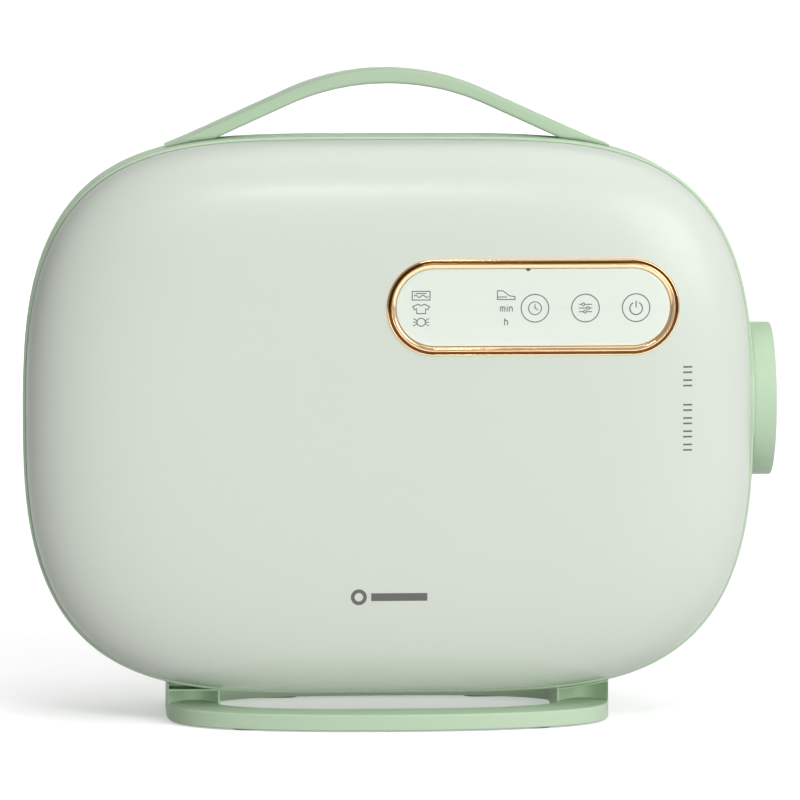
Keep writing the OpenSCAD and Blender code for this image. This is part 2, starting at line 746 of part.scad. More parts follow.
// A forward-curved blade, as a thin bent strip from the inner to the outer radius
function blade_line(side) = [for (k = [0 : 4]) polar(
    throat_r + (blade_len - blade_inset) * k / 4,
    -blade_bend * pow(k / 4 - 0.35, 2) + side * blade_half_angle)];
module impeller() color("whitesmoke") place() at_blower() difference() {
    union() {
        rod_y(0, 0, -impeller_w / 2, -impeller_w / 2 + 1.6, impeller_r, 96);
        rod_y(0, 0, -impeller_w / 2, 8, hub_r, 64);
        along_y(-impeller_w / 2 + 1.6, impeller_w / 2 - 1)
            for (k = [0 : blade_count - 1]) rotate(360 * k / blade_count)
                polygon(concat(blade_line(-1), reversed(blade_line(1))));
        along_y(impeller_w / 2 - 3, impeller_w / 2 - 1) difference() {
            circle(impeller_r);
            circle(impeller_r - 4);
        }
    }
    rod_y(0, 0, -impeller_w, impeller_w, shaft_r, 64);
}
module impeller_nut() color(steel) place() at_blower() difference() {
    rod_y(0, 0, 8, 12.5, 5.5, 6);
    rod_y(0, 0, 7, 13, shaft_r, 64);
}

// ---- Motor --------------------------------------------------------------------------------

module at_motor_ears() for (a = [30, 150, 270])
    translate([flange_r * cos(a), 0, flange_r * sin(a)]) children();
module motor_shaft() color(steel) place() at_blower() rod_y(0, 0, shaft_y0, shaft_y1, shaft_r, 64);
module motor_rotor() color("dimgray") place() at_blower() difference() {
    rod_y(0, 0, stator_y0, stator_y1, rotor_r, 96);
    rod_y(0, 0, stator_y0 - 1, stator_y1 + 1, shaft_r, 64);
}
module motor_stator() color("silver") place() at_blower() along_y(stator_y0, stator_y1) difference() {
    union() {
        difference() {
            circle(stator_r);
            circle(yoke_r);
        }
        for (k = [0 : pole_count - 1]) rotate(360 * k / pole_count)
            translate([pole_r + 0.6, -pole_w / 2]) square([yoke_r - pole_r, pole_w]);
    }
    circle(pole_r);
}
module motor_windings() color("chocolate") place() at_blower()
    for (k = [0 : pole_count - 1]) rotate([0, 360 * k / pole_count, 0]) difference() {
        translate([coil_r0, stator_y0 - coil_over, -coil_w / 2])
            cube([coil_t, stator_l + 2 * coil_over, coil_w]);
        translate([coil_r0 - 1, stator_y0 - 0.1, -pole_w / 2 - 0.1])
            cube([coil_t + 2, stator_l + 0.2, pole_w + 0.2]);
    }
module motor_can() color(steel) place() at_blower() difference() {
    union() {
        rod_y(0, 0, can_front, -case_y, can_r, 96);
        at_motor_ears() rod_y(0, 0, -case_y - flange_t, -case_y, 5);
    }
    rod_y(0, 0, can_front + can_t + bearing_w, -case_y + 1, stator_r, 96);
    difference() {
        rod_y(0, 0, can_front + can_t, can_front + can_t + bearing_w + 1, stator_r, 96);
        rod_y(0, 0, can_front, can_front + can_t + bearing_w, seat_r, 64);
    }
    rod_y(0, 0, can_front + can_t, -case_y, bearing_r, 64);
    at_motor_ears() rod_y(0, 0, -case_y - flange_t - 1, -case_y + 1, screw_r + 0.2);
}
module motor_end_shield() color(steel) place() at_blower() difference() {
    union() {
        rod_y(0, 0, -case_y - 2, -case_y, stator_r, 96);
        rod_y(0, 0, -case_y - bearing_w, -case_y, seat_r, 64);
    }
    rod_y(0, 0, -case_y - bearing_w - 1, -case_y + 1, bearing_r, 64);
}
module motor_bearings() color(steel) place() at_blower()
    for (y = [can_front + can_t, -case_y - bearing_w]) difference() {
        rod_y(0, 0, y, y + bearing_w, bearing_r, 64);
        rod_y(0, 0, y - 1, y + bearing_w + 1, shaft_r + shaft_play, 64);
    }
module motor_screws() color(steel) place() at_blower() at_motor_ears() mirror([0, 1, 0])
    screw_y(0, 0, case_y - case_t + 0.2, case_y + flange_t, screw_r, 3.4, 2);

// ---- Heater -------------------------------------------------------------------------------

function strip_z(k) = outlet_z - inner_z + (k + 1) * row_h + k * strip_t;
module duct_section(grow) at_outlet()
    square(2 * [duct_half_y + grow, duct_half_z + grow], center = true);
module at_terminals() for (k = [0 : strip_count - 1])
    translate([(core_x0 + core_x1) / 2, 0, strip_z(k) + strip_t / 2]) children();

module heater_duct() color("dimgray") place() difference() {
    along_x(heater_x0, heater_x1) duct_section(case_t);
    along_x(heater_x0 - 1, heater_x1 + 1) duct_section(0);
    at_terminals() translate([-3, -duct_half_y - case_t - 1, -1]) cube([6, case_t + 2, 2]);
}
module heater_frame() color("silver") place() difference() {
    along_x(core_x0, core_x1) duct_section(0);
    along_x(core_x0 - 1, core_x1 + 1) duct_section(-2);
    at_terminals() translate([-3, -duct_half_y - 1, -1]) cube([6, 4, 2]);
}
// Folded fins: a strip in each row that runs up and down between the heating strips
module heater_fins() color("lightgray") place() along_x(core_x0 + 0.5, core_x1 - 0.5)
    for (r = [0 : strip_count])
        translate([-inner_y + 1, outlet_z - inner_z + r * (row_h + strip_t)]) {
            for (k = [0 : fin_folds])
                translate([k * fin_pitch - fin_t / 2, 0]) square([fin_t, row_h]);
            for (k = [0 : fin_folds - 1])
                translate([k * fin_pitch, k % 2 == 0 ? 0 : row_h - fin_t]) square([fin_pitch, fin_t]);
        }
module ptc_strips() color("sienna") place() for (k = [0 : strip_count - 1])
    translate([core_x0 + 1, -inner_y, strip_z(k)]) cube([core_x1 - core_x0 - 2, 2 * inner_y, strip_t]);
module heater_terminals() color("gold") place() at_terminals()
    translate([-2.4, -duct_half_y - 7, -0.4]) cube([4.8, 9, 0.8]);

module thermostat() color("black") place() translate([82, 0, outlet_z + duct_half_z + case_t]) union() {
    cylinder(r = 8, h = 5, $fn = 64);
    translate([-2, -12, 2]) cube([4, 24, 0.8]);
}
module thermal_fuse() color("ivory") place() union() {
    rod_y(44, fuse_z, -7, 7, 2.2);
    rod_y(44, fuse_z, -18, 18, 0.6);
}

// ---- Power electronics --------------------------------------------------------------------

module at_power_corners() for (x = [board_x0 + 5, board_x1 - 5], z = [board_z0 + 5, board_z1 - 5])
    translate([x, 0, z]) children();
module on_board(x, z, w, h, t)
    translate([board_x0 + x, board_y + board_t, board_z0 + z]) cube([w, t, h]);
module power_board() color("seagreen") place() difference() {
    translate([board_x0, board_y, board_z0]) cube([board_x1 - board_x0, board_t, board_z1 - board_z0]);
    at_power_corners() rod_y(0, 0, board_y - 1, board_y + 3, board_screw_r + 0.2);
}
module board_capacitors() color("navy") place() for (z = [12, 26, 40])
    rod_y(board_x0 + 14, board_z0 + z, board_y + board_t, board_y + board_t + 20, 5.5, 48);
module transformer() color("orange") place() union() {
    on_board(26, 8, 24, 20, 18);
    on_board(30, 5, 16, 26, 12);
}
module heat_sink() color("silver") place() union() {
    on_board(56, 8, 22, 2.4, 22);
    for (k = [0 : 5]) on_board(56 + 3.9 * k, 10.4, 2, 8, 22);
}
module power_relay() color("black") place() on_board(28, 36, 20, 15, 15);
module terminal_block() color("ivory") place() difference() {
    on_board(54, 34, 26, 12, 12);
    for (k = [0 : 2])
        rod_y(board_x0 + 58.6 + 8.4 * k, board_z0 + 40, board_y + board_t + 8, board_y + board_t + 13, 2.6);
}
module power_board_screws() color(steel) place() at_power_corners()
    screw_y(0, 0, board_y - 4, board_y + board_t, board_screw_r, 2.8, 1.6);

front_cover();
rear_housing();
cover_seal();
housing_screws();
panel_bezel();
panel_lens();
panel_carrier();
light_guide();
display_module();
touch_springs();
control_board();
control_board_screws();
outlet_collar();
outlet_guard();
outlet_duct();
handle();
handle_screws();
handle_clamps();
stand();
stand_screws();
rubber_feet();
inlet_cover();
filter_frame();
filter_mesh();
inlet_seat();
cord_gland();
gland_nut();
blower_front();
blower_back();
blower_screws();
inlet_bellmouth();
damper_grommets();
impeller();
impeller_nut();
motor_shaft();
motor_rotor();
motor_stator();
motor_windings();
motor_can();
motor_end_shield();
motor_bearings();
motor_screws();
heater_duct();
heater_frame();
heater_fins();
ptc_strips();
heater_terminals();
thermostat();
thermal_fuse();
air_sensor();
power_board();
board_capacitors();
transformer();
heat_sink();
power_relay();
terminal_block();
power_board_screws();
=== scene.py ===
import json
import math

import bmesh
import bpy
import numpy as np
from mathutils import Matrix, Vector


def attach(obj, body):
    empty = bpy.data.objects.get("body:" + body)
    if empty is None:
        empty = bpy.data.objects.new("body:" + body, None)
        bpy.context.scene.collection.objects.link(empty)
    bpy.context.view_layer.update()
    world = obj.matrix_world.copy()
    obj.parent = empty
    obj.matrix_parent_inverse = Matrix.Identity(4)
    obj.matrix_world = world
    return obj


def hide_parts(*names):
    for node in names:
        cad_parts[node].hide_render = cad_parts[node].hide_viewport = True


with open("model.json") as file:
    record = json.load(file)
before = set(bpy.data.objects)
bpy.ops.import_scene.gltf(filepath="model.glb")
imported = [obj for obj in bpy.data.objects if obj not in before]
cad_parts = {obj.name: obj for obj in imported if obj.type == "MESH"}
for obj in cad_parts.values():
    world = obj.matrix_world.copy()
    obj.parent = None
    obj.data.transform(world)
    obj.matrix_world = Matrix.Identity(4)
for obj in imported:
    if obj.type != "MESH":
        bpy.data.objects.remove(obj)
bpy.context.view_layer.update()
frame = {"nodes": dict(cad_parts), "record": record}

# Sizes in millimetres, the same as the CAD part's but for the touch panel. X is counted from the body's
# centre plane, which lies at BODY_X in the shared frame.
MM = 0.001
BODY_X = -4.7
HALF_W, HALF_H, BODY_Z = 149.4, 113.9, 125.7
SQUARE_X, SQUARE_Z = 4.35, 2.75
RIM_Y, RIM_STEP, WALL = 30.0, 1.2, 2.5
COVER_DEPTH, COVER_DOME, COVER_BLEND = 26.0, 5.0, 2.2
REAR_START, REAR_DEPTH, REAR_DOME, REAR_BLEND = 2.0, 54.0, 2.6, 2.0
LIP_T, LIP_DEPTH, SEAL_T = 1.2, 3.0, 0.8
OUTLET_Z, BORE_R, COLLAR_R, COLLAR_BODY_R, BOSS_R = 129.7, 29.0, 31.6, 30.8, 32.3
COLLAR_START, COLLAR_END, SHOULDER = 128.0, 158.8, 149.8
SHOULDER_ROUND, END_ROUND = 0.4, 0.3
BOSS_START, BOSS_BORE_START = HALF_W - 17, HALF_W - 22
HANDLE_TOP, CROWN_R, SLOPE = 266.6, 98.0, math.radians(24.4)
HANDLE_T, HANDLE_Y0, HANDLE_Y1, HANDLE_HALF = 6.0, -16.0, 9.0, 91.0
STAND_W, STAND_D, STAND_H, BAND_X, BAND_Y = 182.0, 130.0, 7.2, 21.7, 20.1
RING_SQUARE_X, RING_SQUARE_Y, HOLE_SQUARE, HOLE_W = 2.0, 4.5, 3.1, 150.0
FOOT_T, POST_FRONT, POST_BACK, WEB_T, SHELF_T = 0.6, 25.0, 12.0, 0.8, 0.7
SHELF_Z, SHELF_GAP, HOLLOW_DEPTH, POCKET_DEPTH = 13.0, 0.7, 11.3, 11.6
# The panel lies 0.4 mm further left than the CAD's and is 0.2 mm wider.
PANEL_X, PANEL_Z, PANEL_W, PANEL_H, BAND, BEZEL_LIP = 57.2, 171.6, 119.2, 39.2, 3.8, 1.0
LENS_GAP, LENS_PROUD, PRINT_T = 0.15, 0.08, 0.03
KEYS_X, KEY_Z, KEY_R = (57.7, 78.2, 98.8), 171.3, 5.6
INLET_W, INLET_H, INLET_GAP, INLET_FLOOR = 150.0, 96.0, 0.4, 44.4
GLAND_X, GLAND_Z, GLAND_FLANGE_R, GLAND_R = -70.0, 54.0, 11.0, 8.0
CORNER_X, CORNER_Z, CORNER_HEAD_Y = 116.0, 72.0, 16.0
CORNER_BOSS_R, CORNER_HEAD_R, CORNER_SHANK_R, CORNER_BOSS_SUNK = 6.8, 4.5, 2.2, 4.5
PAST_FRONT, PAST_BACK = -60.0, 60.0
AROUND = 312


# ---- Curves -------------------------------------------------------------------------------

def superellipse(t, a, b, ex=SQUARE_X, ez=SQUARE_Z):
    c, s = np.cos(t), np.sin(t)
    return np.stack([a * np.sign(c) * np.abs(c) ** (2 / ex), b * np.sign(s) * np.abs(s) ** (2 / ez)], axis=1)


def even_turns(count, a, b, ex=SQUARE_X, ez=SQUARE_Z):
    """Angles that space `count` points evenly along the outline."""
    t = np.linspace(0, 2 * math.pi, 16001)
    p = superellipse(t, a, b, ex, ez)
    s = np.concatenate([[0], np.cumsum(np.linalg.norm(np.diff(p, axis=0), axis=1))])
    return np.interp((np.arange(count) + 0.5) / count * s[-1], s, t)


TURNS = even_turns(AROUND, HALF_W, HALF_H)


def body_ring(inset, y):
    p = superellipse(TURNS, HALF_W - inset, HALF_H - inset)
    return np.column_stack([p[:, 0], np.full(len(p), y), BODY_Z + p[:, 1]])


def dome(t, p, q):
    return (1 - (1 - t) ** p) ** (1 / q)


def inset_at(x, z, half_w, half_h):
    """The inset of the outline that passes through each point (x, z), found by halving."""
    low, high = np.zeros_like(x), np.full_like(x, half_h - 1)
    for _ in range(40):
        mid = (low + high) / 2
        out = (np.abs(x) / (half_w - mid)) ** SQUARE_X + (np.abs(z) / (half_h - mid)) ** SQUARE_Z > 1
        high, low = np.where(out, mid, high), np.where(out, low, mid)
    return (low + high) / 2


def cover_y(x, z):
    """The y of the cover's skin in front of each point (x, z)."""
    x, z = np.asarray(x, float), np.asarray(z, float) - BODY_Z
    t = inset_at(x, z, HALF_W - RIM_STEP, HALF_H - RIM_STEP) / (HALF_H - RIM_STEP)
    return -RIM_Y - COVER_DEPTH * dome(t, COVER_DOME, COVER_BLEND)


def shell_half(x):
    return HALF_H * np.clip(1 - (np.abs(x) / HALF_W) ** SQUARE_X, 0, 1) ** (1 / SQUARE_Z)


def round_corner(cx, cz, r, a0, a1, steps):
    a = np.radians(np.linspace(a0, a1, steps + 1))
    return [(cx + r * math.cos(v), cz + r * math.sin(v)) for v in a]


def stadium(w, h, steps=28):
    """Points and outward normals round a stadium, counterclockwise."""
    r, points, normals = h / 2, [], []
    for cx, a0 in ((w / 2 - r, -90), (-w / 2 + r, 90)):
        for v in np.radians(np.linspace(a0, a0 + 180, steps + 1)):
            points.append((cx + r * math.cos(v), r * math.sin(v)))
            normals.append((math.cos(v), math.sin(v)))
    count = 16
    out_p, out_n = [], []
    for i, (p, n) in enumerate(zip(points, normals)):
        out_p.append(p)
        out_n.append(n)
        q = points[(i + 1) % len(points)]
        if math.dist(p, q) > 10:
            for k in range(1, count):
                out_p.append((p[0] + (q[0] - p[0]) * k / count, p[1] + (q[1] - p[1]) * k / count))
                out_n.append(n)
    return np.array(out_p), np.array(out_n)


# ---- Mesh building ------------------------------------------------------------------------

def make(name, verts, faces):
    """A mesh object from points in millimetres, with X from the body's centre plane."""
    v = np.asarray(verts, float) + [BODY_X, 0, 0]
    mesh = bpy.data.meshes.new(name)
    mesh.from_pydata((v * MM).tolist(), [], [list(map(int, f)) for f in faces])
    mesh.validate()
    mesh.update()
    obj = bpy.data.objects.new(name, mesh)
    bpy.context.scene.collection.objects.link(obj)
    smooth(obj, 32)
    return obj


def smooth(obj, angle):
    obj.data.shade_smooth()
    obj.data.set_sharp_from_angle(angle=math.radians(angle))


def loft(rings, closed=False):
    """Quads through rings of equally many points, capped at both ends or closed into a loop."""
    n, m = len(rings[0]), len(rings)
    verts = np.concatenate(rings)
    faces = []
    for k in range(m if closed else m - 1):
        a, b = k * n, (k + 1) % m * n
        faces += [(a + i, a + (i + 1) % n, b + (i + 1) % n, b + i) for i in range(n)]
    if not closed:
        faces += [tuple(range(n - 1, -1, -1)), tuple((m - 1) * n + i for i in range(n))]
    return verts, faces


def fix_normals(obj):
    bm = bmesh.new()
    bm.from_mesh(obj.data)
    bmesh.ops.remove_doubles(bm, verts=bm.verts, dist=1e-7)
    bmesh.ops.recalc_face_normals(bm, faces=bm.faces)
    bm.to_mesh(obj.data)
    bm.free()


def boolean(obj, tools, operation):
    """Cuts or joins with other closed meshes, which are used up."""
    for tool in tools:
        fix_normals(tool)
        modifier = obj.modifiers.new("cut_or_join", "BOOLEAN")
        modifier.operation, modifier.solver, modifier.object = operation, "EXACT", tool
        graph = bpy.context.evaluated_depsgraph_get()
        mesh = bpy.data.meshes.new_from_object(obj.evaluated_get(graph))
        obj.modifiers.clear()
        obj.data = mesh
        bpy.data.objects.remove(tool)


def rod(axis, cx, cz, a0, a1, r, count=96):
    """A closed cylinder along X (through y=cx, z=cz) or along Y (through x=cx, z=cz)."""
    t = np.arange(count) / count * 2 * math.pi
    rings = []
    for a in (a0, a1):
        u, w, h = cx + r * np.cos(t), cz + r * np.sin(t), np.full(count, a)
        rings.append(np.column_stack([h, u, w] if axis == "x" else [u, h, w]))
    return make("tool", *loft(rings))


def prism_y(outline, y0, y1):
    p = np.asarray(outline, float)
    rings = [np.column_stack([p[:, 0], np.full(len(p), y), p[:, 1]]) for y in (y0, y1)]
    return make("tool", *loft(rings))


def finish_piece(obj, body, nodes, material, angle=40):
    """Materials, the body that the piece rides on and the CAD nodes that it takes the place of."""
    fix_normals(obj)
    smooth(obj, angle)
    obj.data.materials.clear()
    for m in (material if isinstance(material, (list, tuple)) else [material]):
        obj.data.materials.append(m)
    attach(obj, body)
    if nodes:
        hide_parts(*nodes)
    return obj


# ---- Materials ----------------------------------------------------------------------------

def shader(name):
    m = bpy.data.materials.new(name)
    m.use_nodes = True
    tree = m.node_tree
    return m, tree, tree.nodes["Principled BSDF"]


def add(tree, kind, **settings):
    node = tree.nodes.new(kind)
    for key, value in settings.items():
        if key in node.inputs:
            node.inputs[key].default_value = value
        else:
            setattr(node, key, value)
    return node


def noise(tree, coord, scale, detail=3.0, roughness=0.5):
    n = add(tree, "ShaderNodeTexNoise")
    n.inputs["Scale"].default_value = scale
    n.inputs["Detail"].default_value = detail
    n.inputs["Roughness"].default_value = roughness
    tree.links.new(coord, n.inputs["Vector"])
    return n.outputs["Fac"]


def remap(tree, value, low, high, in_low=0.3, in_high=0.7):
    n = add(tree, "ShaderNodeMapRange")
    n.inputs["From Min"].default_value = in_low
    n.inputs["From Max"].default_value = in_high
    n.inputs["To Min"].default_value = low
    n.inputs["To Max"].default_value = high
    tree.links.new(value, n.inputs["Value"])
    return n.outputs["Result"]


def mix_colour(tree, factor, a, b):
    n = tree.nodes.new("ShaderNodeMix")
    n.data_type = "RGBA"
    for socket, value in ((n.inputs[6], a), (n.inputs[7], b)):
        if isinstance(value, (tuple, list)):
            socket.default_value = (*value[:3], 1)
        else:
            tree.links.new(value, socket)
    tree.links.new(factor, n.inputs[0])
    return n.outputs[2]


def bump(tree, height, strength, distance):
    n = tree.nodes.new("ShaderNodeBump")
    n.inputs["Strength"].default_value = strength
    n.inputs["Distance"].default_value = distance
    tree.links.new(height, n.inputs["Height"])
    return n.outputs["Normal"]


def shade(colour, factor):
    return tuple(c * factor for c in colour)


# A paler colour that plastics are mixed towards along their sharp outer edges
PALE_EDGE_COLOUR = (0.95, 0.96, 0.95)


def plastic(name, colour, rough=0.4, spread=0.04, grain=1800, depth=0.15, coat=0.0, coat_rough=0.1,
            edge_paleness=0.05):
    """Moulded plastic: slow drift of tone, fine spark-eroded grain, paler sharp outer edges."""
    m, tree, b = shader(name)
    coord = add(tree, "ShaderNodeTexCoord").outputs["Object"]
    drift = noise(tree, coord, 9, 4)
    speckle = noise(tree, coord, grain * 0.7, 2)
    tone = remap(tree, drift, 0, 1)
    drifted = mix_colour(tree, tone, shade(colour, 1 - spread), shade(colour, 1 + spread * 0.6))
    speckled = mix_colour(tree, remap(tree, speckle, 0, 0.35), drifted, shade(colour, 1 - 1.5 * spread))
    geometry = add(tree, "ShaderNodeNewGeometry")
    # Sharp outer edges, found by pointiness, turn paler
    edge = remap(tree, geometry.outputs["Pointiness"], 0, edge_paleness, 0.52, 0.62)
    tree.links.new(mix_colour(tree, edge, speckled, PALE_EDGE_COLOUR), b.inputs["Base Color"])
    tree.links.new(remap(tree, noise(tree, coord, 160, 3), rough - 0.04, rough + 0.05), b.inputs["Roughness"])
    grain_height = noise(tree, coord, grain, 2, 0.6)
    tree.links.new(bump(tree, grain_height, depth, 0.0002), b.inputs["Normal"])
    b.inputs["Specular IOR Level"].default_value = 0.5
    b.inputs["Coat Weight"].default_value = coat
    b.inputs["Coat Roughness"].default_value = coat_rough
    return m


def metal(name, colour, rough=0.25, spread=0.06, line_scale=(20, 900, 900), depth=0.05):
    """Plated or rolled metal with faint drawn lines and duller patches."""
    m, tree, b = shader(name)
    coord = add(tree, "ShaderNodeTexCoord").outputs["Object"]
    stretch = add(tree, "ShaderNodeMapping")
    stretch.inputs["Scale"].default_value = line_scale
    tree.links.new(coord, stretch.inputs["Vector"])
    lines = noise(tree, stretch.outputs["Vector"], 1.0, 2)
    patches = noise(tree, coord, 60, 4)
    tone = remap(tree, patches, 0, 1)
    patched = mix_colour(tree, tone, shade(colour, 1 - spread), shade(colour, 1 + spread))
    tree.links.new(patched, b.inputs["Base Color"])
    tree.links.new(remap(tree, lines, rough * 0.75, rough * 1.3), b.inputs["Roughness"])
    tree.links.new(bump(tree, lines, depth, 0.00008), b.inputs["Normal"])
    b.inputs["Metallic"].default_value = 1.0
    return m


def board(name):
    """A solder-masked circuit board with a lattice of tracks under the mask."""
    m, tree, b = shader(name)
    coord = add(tree, "ShaderNodeTexCoord").outputs["Object"]
    bricks = add(tree, "ShaderNodeTexBrick")
    bricks.inputs["Scale"].default_value = 180
    bricks.inputs["Mortar Size"].default_value = 0.06
    turn = add(tree, "ShaderNodeMapping")
    turn.inputs["Rotation"].default_value = (math.radians(90), 0, 0)
    tree.links.new(coord, turn.inputs["Vector"])
    tree.links.new(turn.outputs["Vector"], bricks.inputs["Vector"])
    tree.links.new(mix_colour(tree, bricks.outputs["Fac"], (0.012, 0.095, 0.04), (0.03, 0.17, 0.075)),
                   b.inputs["Base Color"])
    tree.links.new(bump(tree, bricks.outputs["Fac"], 0.2, 0.0001), b.inputs["Normal"])
    b.inputs["Roughness"].default_value = 0.3
    return m


def woven(name, colour, pitch=0.0012):
    """A fine square weave, its threads a pitch apart in metres."""
    m, tree, b = shader(name)
    coord = add(tree, "ShaderNodeTexCoord").outputs["Object"]
    separate = add(tree, "ShaderNodeSeparateXYZ")
    tree.links.new(coord, separate.inputs[0])
    waves = []
    for axis in ("X", "Z"):
        scaled = add(tree, "ShaderNodeMath", operation="MULTIPLY")
        scaled.inputs[1].default_value = 2 * math.pi / pitch
        tree.links.new(separate.outputs[axis], scaled.inputs[0])
        wave = add(tree, "ShaderNodeMath", operation="SINE")
        tree.links.new(scaled.outputs[0], wave.inputs[0])
        waves.append(wave.outputs[0])
    high = add(tree, "ShaderNodeMath", operation="MAXIMUM")
    tree.links.new(waves[0], high.inputs[0])
    tree.links.new(waves[1], high.inputs[1])
    level = remap(tree, high.outputs[0], 0, 1, -0.4, 0.9)
    tree.links.new(mix_colour(tree, level, shade(colour, 0.25), colour), b.inputs["Base Color"])
    tree.links.new(bump(tree, level, 0.6, 0.0003), b.inputs["Normal"])
    b.inputs["Roughness"].default_value = 0.8
    return m


COVER_MINT = (0.66, 0.715, 0.635)
SAGE = (0.49, 0.64, 0.455)

FINE_LINES = (300, 300, 300)

MATERIALS = {
    "cover_mint_white": plastic("cover_mint_white", COVER_MINT, rough=0.34, spread=0.012, grain=2600,
                                depth=0.035, coat=0.18, coat_rough=0.22, edge_paleness=0.02),
    "housing_green": plastic("housing_green", SAGE, rough=0.46, spread=0.02, grain=1700, depth=0.12,
                             edge_paleness=0.06),
    # The handle takes the housing's sage darkened to 0.88: painted shade on the handle's face
    "handle_green": plastic("handle_green", shade(SAGE, 0.88), rough=0.42, spread=0.02, grain=1700,
                            depth=0.08, edge_paleness=0.06),
    "bezel_gold": metal("bezel_gold", (0.86, 0.60, 0.34), rough=0.09, spread=0.03, line_scale=FINE_LINES,
                        depth=0.02),
    "lens_white": plastic("lens_white", (0.775, 0.835, 0.755), rough=0.16, spread=0.006, grain=3000,
                          depth=0.0, coat=0.3, coat_rough=0.05, edge_paleness=0.0),
    "seal_dark": plastic("seal_dark", (0.06, 0.075, 0.06), rough=0.7, grain=900),
    "rubber_dark": plastic("rubber_dark", (0.025, 0.026, 0.025), rough=0.75, grain=900, depth=0.3),
    "white_plastic": plastic("white_plastic", (0.72, 0.73, 0.71), rough=0.45),
    "grey_plastic": plastic("grey_plastic", (0.36, 0.38, 0.38), rough=0.5),
    "dark_plastic": plastic("dark_plastic", (0.018, 0.018, 0.020), rough=0.5, grain=1400, depth=0.25),
    "duct_grey": plastic("duct_grey", (0.085, 0.09, 0.095), rough=0.6, grain=700, depth=0.3),
    "steel_zinc": metal("steel_zinc", (0.55, 0.56, 0.58), rough=0.3),
    "steel_dark": metal("steel_dark", (0.12, 0.12, 0.13), rough=0.5, line_scale=(60, 2200, 60)),
    "aluminium_fin": metal("aluminium_fin", (0.70, 0.71, 0.72), rough=0.35),
    "ceramic_brown": plastic("ceramic_brown", (0.17, 0.075, 0.04), rough=0.6, grain=1200, depth=0.3),
    "brass_tab": metal("brass_tab", (0.60, 0.42, 0.14), rough=0.3),
    "copper_wire": metal("copper_wire", (0.45, 0.14, 0.05), rough=0.35, line_scale=(60, 3000, 60), depth=0.3),
    "board_green": board("board_green"),
    "filter_grey": woven("filter_grey", (0.20, 0.21, 0.21)),
    "capacitor_sleeve": plastic("capacitor_sleeve", (0.01, 0.013, 0.04), rough=0.25, grain=1200, depth=0.05),
    "ivory_plastic": plastic("ivory_plastic", (0.74, 0.69, 0.55), rough=0.35),
}
PRINT_DARK = plastic("print_dark", (0.125, 0.13, 0.125), rough=0.5, spread=0.03, grain=2500, depth=0.02,
                     edge_paleness=0.0)
# A darker gold for the bezel's groove and the slope inside it: a painted dark reflection
GOLD_DARK_REFLECTION = metal("bezel_gold_dark_reflection", (0.13, 0.055, 0.017), rough=0.14, spread=0.08, line_scale=FINE_LINES,
                  depth=0.02)


# ---- Front cover --------------------------------------------------------------------------

def shares(steps, reach=0.97):
    """Shares of the way in from the rim to the middle, closest together at the rim."""
    return reach * (np.arange(steps + 1) / steps) ** 2


def cover_rings(skin, steps):
    rings = []
    for v in shares(steps):
        y = -RIM_Y - (COVER_DEPTH - skin) * dome(v, COVER_DOME, COVER_BLEND)
        rings.append(body_ring(RIM_STEP + skin + v * (HALF_H - RIM_STEP - skin), y))
    return rings


lip_end, lip_round = -RIM_Y + LIP_DEPTH - SEAL_T, 0.3
rings = cover_rings(WALL, 24)[::-1]
rings += [body_ring(RIM_STEP + WALL, lip_end), body_ring(RIM_STEP + lip_round, lip_end)]
rings += [body_ring(RIM_STEP, lip_end - lip_round)]
rings += cover_rings(0.0, 48)
cover = make("cover_shell", *loft(rings))
panel_hole, _ = stadium(PANEL_W - 2 * BEZEL_LIP, PANEL_H - 2 * BEZEL_LIP)
panel_cut = prism_y(panel_hole + [PANEL_X, PANEL_Z], PAST_FRONT, -40)
outlet_notch = rod("x", 0, OUTLET_Z, COLLAR_START, HALF_W + 2, BOSS_R + 0.4, 160)
boolean(cover, [panel_cut, outlet_notch], "DIFFERENCE")
finish_piece(cover, "body", ["front_cover"], MATERIALS["cover_mint_white"])


# ---- Rear housing -------------------------------------------------------------------------

def rear_rings(skin, steps):
    rings = []
    for v in shares(steps):
        y = REAR_START + (REAR_DEPTH - skin) * dome(v, REAR_DOME, REAR_BLEND)
        rings.append(body_ring(skin + v * (HALF_H - skin), y))
    return rings


def rear_y(x, z):
    """The y of the housing's skin behind a point (x, z)."""
    inset = inset_at(np.array([float(x)]), np.array([z - BODY_Z]), HALF_W, HALF_H)[0]
    return float(REAR_START + REAR_DEPTH * dome(inset / HALF_H, REAR_DOME, REAR_BLEND))


EDGE_R, MIDDLE_Y = 0.75, -12.0
rings = rear_rings(0.0, 40)[::-1] + [body_ring(0, MIDDLE_Y)]
for v in np.radians(np.linspace(0, 90, 7)):
    rings.append(body_ring(EDGE_R * (1 - math.cos(v)), -RIM_Y + EDGE_R * (1 - math.sin(v))))
rings += [body_ring(LIP_T - 0.25, -RIM_Y), body_ring(LIP_T - 0.05, -RIM_Y + 0.2)]
rings += [body_ring(LIP_T - 0.05, -RIM_Y + LIP_DEPTH), body_ring(WALL, -RIM_Y + LIP_DEPTH)]
rings += rear_rings(WALL, 24)
housing = make("housing_shell", *loft(rings))

gland_y = rear_y(GLAND_X, GLAND_Z)
corners = [(sx * CORNER_X, BODY_Z + sz * CORNER_Z) for sx in (-1, 1) for sz in (-1, 1)]
joins = [rod("x", 0, OUTLET_Z, BOSS_START, SHOULDER - 0.02, BOSS_R, 160),
         rod("y", GLAND_X, GLAND_Z, gland_y - 6, gland_y + 3, GLAND_FLANGE_R + 2)]
for x, z in corners:
    joins.append(rod("y", x, z, CORNER_HEAD_Y - 3, rear_y(x, z) - CORNER_BOSS_SUNK, CORNER_BOSS_R, 64))
boolean(housing, joins, "UNION")

